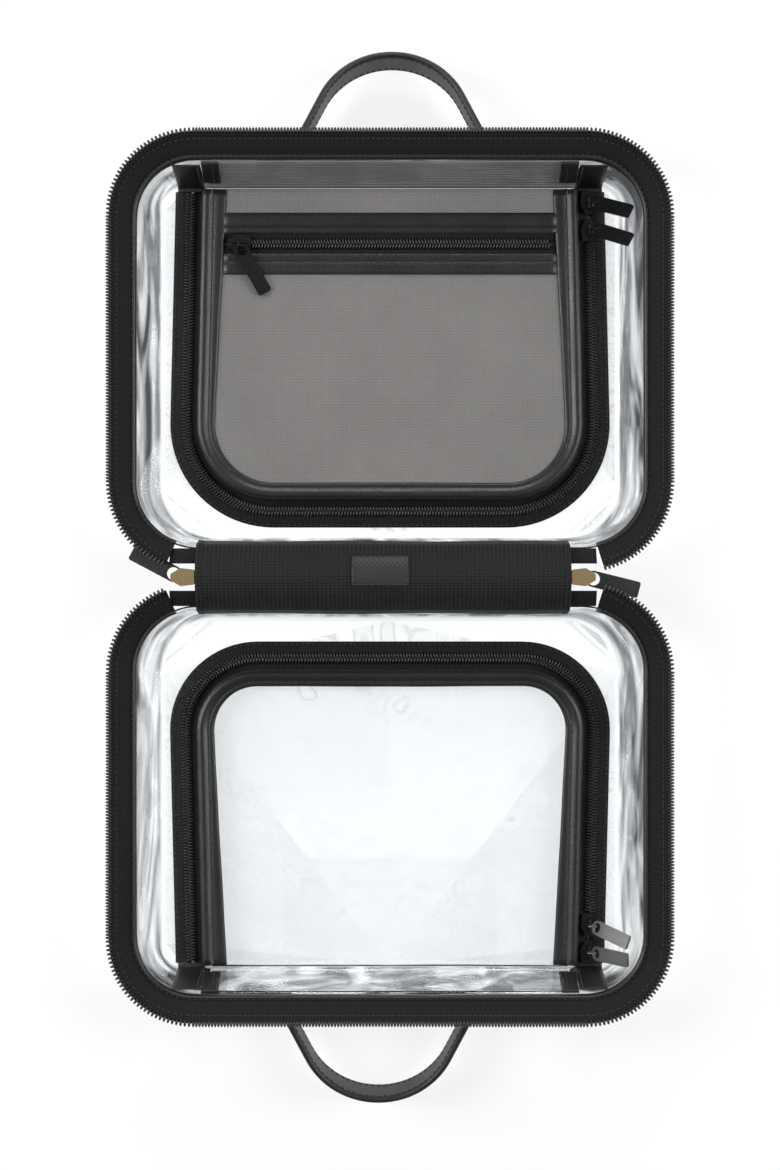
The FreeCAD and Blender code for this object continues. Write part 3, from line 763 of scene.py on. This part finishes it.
# %% Slip pocket
slip_half, strip_width, slip_tape_half = 87.2, 11.0, 89.0
for side in (-1, 1):
    near, far = slip_place + side * slip_open, slip_place + side * (slip_open + strip_width)
    middle = near + side * 4.4
    profile = [(near, 10.1), (near, 11.0), (near + side * 1.0, 11.4),
               (middle - side * 0.6, 11.3), (middle, 10.95),
               (middle + side * 0.6, 11.3), (far - side * 0.8, 11.1), (far, 10.7), (far, 10.1)]
    block = profile_block(profile, -slip_half, 2 * slip_half, 0.15, 1)
    made = store(block, f"slip_strip_{side + 1}", binding_pu, 1)
    place_on(made, "rear_flap", "black_pu", *(["rear_slip_strips"] if side < 0 else []))
    bm = bmesh.new()
    cross_stitches(bm, near + side * 2.0, 11.4, -slip_half + 1, slip_half - 1, 3.2)
    cross_stitches(bm, far - side * 2.0, 11.2, -slip_half + 1, slip_half - 1, 3.2)
    place_on(store(bm, f"slip_stitches_{side + 1}", thread, 1), "rear_flap", "black_pu")
    line = route([Vector((-slip_tape_half, slip_place)), Vector((slip_tape_half, slip_place))], [0, 0], 4.0)

    def slip_tape(station, side=side):
        ends = [(0.05, 8.85), (0.05, 9.4), (5.0, 9.4), (8.8, 9.35), (8.8, 8.85)]
        return [(side * offset, z) for offset, z in ends]

    made = store(strip(line, slip_tape), f"slip_weave_{side + 1}", zip_weave, 1)
    place_on(made, "rear_flap", "black_tape", *(["rear_slip_tapes"] if side < 0 else []))
    inner = route([Vector((-slip_half + 3, slip_place)), Vector((slip_half - 3, slip_place))], [0, 0], 4.0)
    made = store(coil_row(inner, side, 10.45), f"slip_teeth_{side + 1}", coil_wire, 1)
    place_on(made, "rear_flap", "black_coil", *(["rear_slip_coil"] if side < 0 else []))
print("slip pocket made")

# %% [markdown]
# The spine strip is ribbed nylon, arched over the hinge line and sewn down inside both trays. It is one
# piece that bends when the case closes; here it is built in its open shape. The patch lies on its curve.

# %% Spine
spine_left, spine_right = -99.0, 92.0
crest_top, crest_half, skirt_foot = 48.4, 16.4, 22.0
crest_sag = crest_top - wall_top
crest_radius = (crest_half ** 2 + crest_sag ** 2) / (2 * crest_sag)
crest_angle = math.asin(crest_half / crest_radius)


def spine_point(share, lift):
    """A point of the strip's section: share runs from -1 at the front skirt to 1 at the rear one."""
    bend = min(1.0, abs(share) / 0.7)
    sign = 1 if share > 0 else -1
    angle = crest_angle * bend
    radius = crest_radius + lift
    y = radius * math.sin(angle)
    z = crest_top - crest_radius + radius * math.cos(angle)
    if abs(share) > 0.7:
        drop = (abs(share) - 0.7) / 0.3
        y += 2.1 * drop
        z -= (wall_top - skirt_foot) * drop
    return sign * y, z


def spine_sheet(left, right, low, high, lift, cells):
    """A grid laid over part of the spine's section."""
    bm = bmesh.new()
    along = bm.verts.layers.float.new("along")
    across = bm.verts.layers.float.new("across")
    bmesh.ops.create_grid(bm, x_segments=cells[0], y_segments=cells[1], size=1.0)
    for vert in bm.verts:
        x = left + (right - left) * (vert.co.x + 1) / 2
        share = low + (high - low) * (vert.co.y + 1) / 2
        puff = 0.25 * math.sin(x / 14.0) * math.cos(share * 3.0)
        vert.co = (x, *spine_point(share, lift + puff))
        vert[along] = x
        vert[across] = share * 30.0
    return bm


def spine_blend(made):
    """Bakes a piece's placement into its mesh."""
    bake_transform(made)


bm = spine_sheet(spine_left, spine_right, -1, 1, 0.0, (64, 40))
web = thicken(store(bm, "spine_web", spine_weave, 1), 0.8)
spine_blend(web)
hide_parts("spine_strip")
bm = bmesh.new()
for x in (spine_left + 2.6, spine_right - 2.6, spine_left + 0.9, spine_right - 0.9):
    for i in range(24):
        share = -0.9 + 1.8 * (i + 0.5) / 24
        bead(bm, Vector((x, *spine_point(share, 0.45))), Vector((0, 1)), (1.8, 0.6, 0.7))
hem = store(bm, "spine_stitches", thread, 1)
spine_blend(hem)
for name, left in (("left", spine_left), ("right", spine_right - 2.6)):
    bm = spine_sheet(left, left + 2.6, -0.98, 0.98, 0.55, (3, 40))
    fold = thicken(store(bm, f"spine_{name}_hem", spine_weave, 1), 0.6)
    spine_blend(fold)
bm = spine_sheet(-19.5, 9.5, -0.15, 0.37, 0.95, (18, 10))
patch = thicken(store(bm, "spine_label_patch", patch_pu, 1), 1.1)
soft = patch.modifiers.new("soft_edge", "BEVEL")
soft.width = 0.0003
soft.segments = 2
spine_blend(patch)
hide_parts("spine_patch")
bm = bmesh.new()
for share in (-0.12, 0.34):
    y, z = spine_point(share, 1.55)
    cross_stitches(bm, y, z, -18.6, 8.6, 2.6)
for x in (-18.4, 8.4):
    for i in range(6):
        share = -0.1 + 0.42 * (i + 0.5) / 6
        bead(bm, Vector((x, *spine_point(share, 1.55))), Vector((0, 1)), (1.8, 0.6, 0.6))
edging = store(bm, "patch_stitches", thread, 1)
spine_blend(edging)
print("spine strip and plain patch made")

# %% [markdown]
# The handles are flat PU straps on edge. Their feet are sewn to the trays, and the arch swings.

# %% Handles
strap_wide, strap_thick, strap_place, strap_reach = 18.0, 3.0, 28.0, 56.0
wall_lean = math.atan2(7.5, 38.0)
strap_wall = 216.0 - 7.5 * (1 - strap_place / 38.0) + 0.1


def strap_route(step):
    """The strap's middle line, seen flat: feet, bends and crown."""
    middle = strap_thick / 2
    crown = strap_reach
    corners = [Vector(c) for c in (
        (-70, middle), (-52, middle), (-25, crown), (25, crown), (52, middle), (70, middle))]
    return route(corners, [0, 16.0, 40.0, 40.0, 16.0, 0], step)


def strap_section(station):
    """A flat strap with rolled edges and a slightly full middle."""
    high, thin = strap_wide / 2, strap_thick / 2
    return [(-thin * 0.5, -high), (-thin, -high + 0.9), (-thin, -high + 3.0), (-thin - 0.15, 0),
            (-thin, high - 3.0), (-thin, high - 0.9), (-thin * 0.5, high), (thin * 0.5, high),
            (thin, high - 0.9), (thin, 0),
            (thin, -high + 0.9), (thin * 0.5, -high)]


def lean_out(bm, shift):
    """Sets a flat strap against the sloped wall."""
    bmesh.ops.rotate(bm, cent=(0, 0, 0), matrix=Matrix.Rotation(-wall_lean, 3, "X"), verts=bm.verts)
    bmesh.ops.translate(bm, vec=(shift, strap_wall, strap_place), verts=bm.verts)


def strap_blend(made):
    """Bakes a strap's placement into its mesh."""
    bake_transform(made)


strap_line = strap_route(3.0)
for (half, side), shift in zip(HALVES, (1.0, -6.0)):
    bm = strip(strap_line, strap_section)
    lean_out(bm, shift)
    made = store(bm, half + "_strap", strap_pu, side)
    strap_blend(made)
    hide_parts(half + "_handle", half + "_handle_feet")
    bm = bmesh.new()
    for face in (-1.62, 1.55):
        for z in (-6.6, 6.6):
            stitch_row(bm, strap_line, face, z, 3.4)
    lean_out(bm, shift)
    made = store(bm, half + "_strap_stitches", thread, side)
    strap_blend(made)
print("strap is", round(strap_line[-1][2]), "mm long")

# %% [markdown]
# Trays, sliders, rings and pulls keep their construction meshes and take a finish.

# %% Finishes on construction pieces
FINISHES = {"rear_tray": tray_pvc, "front_tray": tray_pvc, "chain_ends": coil_wire}
for name in ("left_main_slider", "right_main_slider", "left_main_ring", "right_main_ring"):
    FINISHES[name] = brass
for name in ("left_main_pull", "right_main_pull"):
    FINISHES[name] = strap_pu
for name in ("rear_slider_a", "rear_slider_b", "front_slider_a", "front_slider_b", "slip_slider",
             "rear_pull_a", "rear_pull_b", "slip_pull"):
    FINISHES[name] = black_metal
for name in ("front_pull_a", "front_pull_b"):
    FINISHES[name] = satin
for name, mat in FINISHES.items():
    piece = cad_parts[name]
    piece.data.materials.clear()
    piece.data.materials.append(mat)
print(len(FINISHES), "construction pieces finished")

# %% [markdown]
# The photograph was taken from straight above a white table. The floor is pale, and for the camera, and
# through glass, it is a little lighter than the lamps make it. Soft lamps hang above and at the sides.

# %% Table, lamps and camera


def table_finish():
    """Pale table that keeps the shadows but reads as white."""
    mat, tree, shader = finish("table")
    shader.inputs["Base Color"].default_value = (0.9, 0.9, 0.9, 1)
    shader.inputs["Roughness"].default_value = 0.9
    path = node(tree, "ShaderNodeLightPath")
    seen = joined(tree, path.outputs["Is Camera Ray"], path.outputs["Is Glossy Ray"], "MAXIMUM")
    seen = joined(tree, seen, path.outputs["Is Transmission Ray"], "MAXIMUM")
    share = joined(tree, seen, 0.72, "MULTIPLY")
    glow = node(tree, "ShaderNodeEmission", {"Color": (1, 1, 1, 1), "Strength": 1.0})
    mix = node(tree, "ShaderNodeMixShader", {0: share})
    tree.links.new(shader.outputs["BSDF"], mix.inputs[1])
    tree.links.new(glow.outputs["Emission"], mix.inputs[2])
    tree.links.new(mix.outputs["Shader"], tree.nodes["Material Output"].inputs["Surface"])
    return mat


bm = bmesh.new()
bmesh.ops.create_grid(bm, x_segments=1, y_segments=1, size=4000.0)
table = store(bm, "table", table_finish(), 1)


def lamp(name, place, target, size, power):
    """A soft rectangular lamp aimed at a point."""
    data = bpy.data.lights.new(name, "AREA")
    data.shape = "RECTANGLE"
    data.size, data.size_y = size
    data.energy = power
    made = bpy.data.objects.new(name, data)
    made.location = place
    made.rotation_euler = (Vector(target) - Vector(place)).to_track_quat("-Z", "Y").to_euler()
    bpy.context.scene.collection.objects.link(made)


lamp("left_softbox", (-1.25, 0.2, 1.0), (0, 0, 0.03), (0.5, 1.3), 22)
lamp("right_softbox", (1.25, 0.1, 1.0), (0, 0, 0.03), (0.5, 1.3), 18)
lamp("far_softbox", (0.0, 1.5, 0.9), (0, 0, 0.03), (1.0, 0.4), 12)
world = bpy.data.worlds.new("studio")
world.use_nodes = True
world.node_tree.nodes["Background"].inputs["Color"].default_value = (0.8, 0.82, 0.85, 1)
world.node_tree.nodes["Background"].inputs["Strength"].default_value = 0.35
bpy.context.scene.world = world

CAMERA_HEIGHT = 1.15
PIXELS_PER_MM_AT_TABLE = 1.89
FRAME_LONG_SIDE = 1170
camera = bpy.data.cameras.new("camera")
camera.sensor_width = 36.0
camera.lens = PIXELS_PER_MM_AT_TABLE * CAMERA_HEIGHT * 1000 / FRAME_LONG_SIDE * camera.sensor_width
viewer = bpy.data.objects.new("camera", camera)
viewer.location = (0, -0.004, CAMERA_HEIGHT)
bpy.context.scene.collection.objects.link(viewer)
bpy.context.scene.camera = viewer
bpy.context.scene.view_settings.view_transform = "Standard"
print("lens", round(camera.lens, 1))
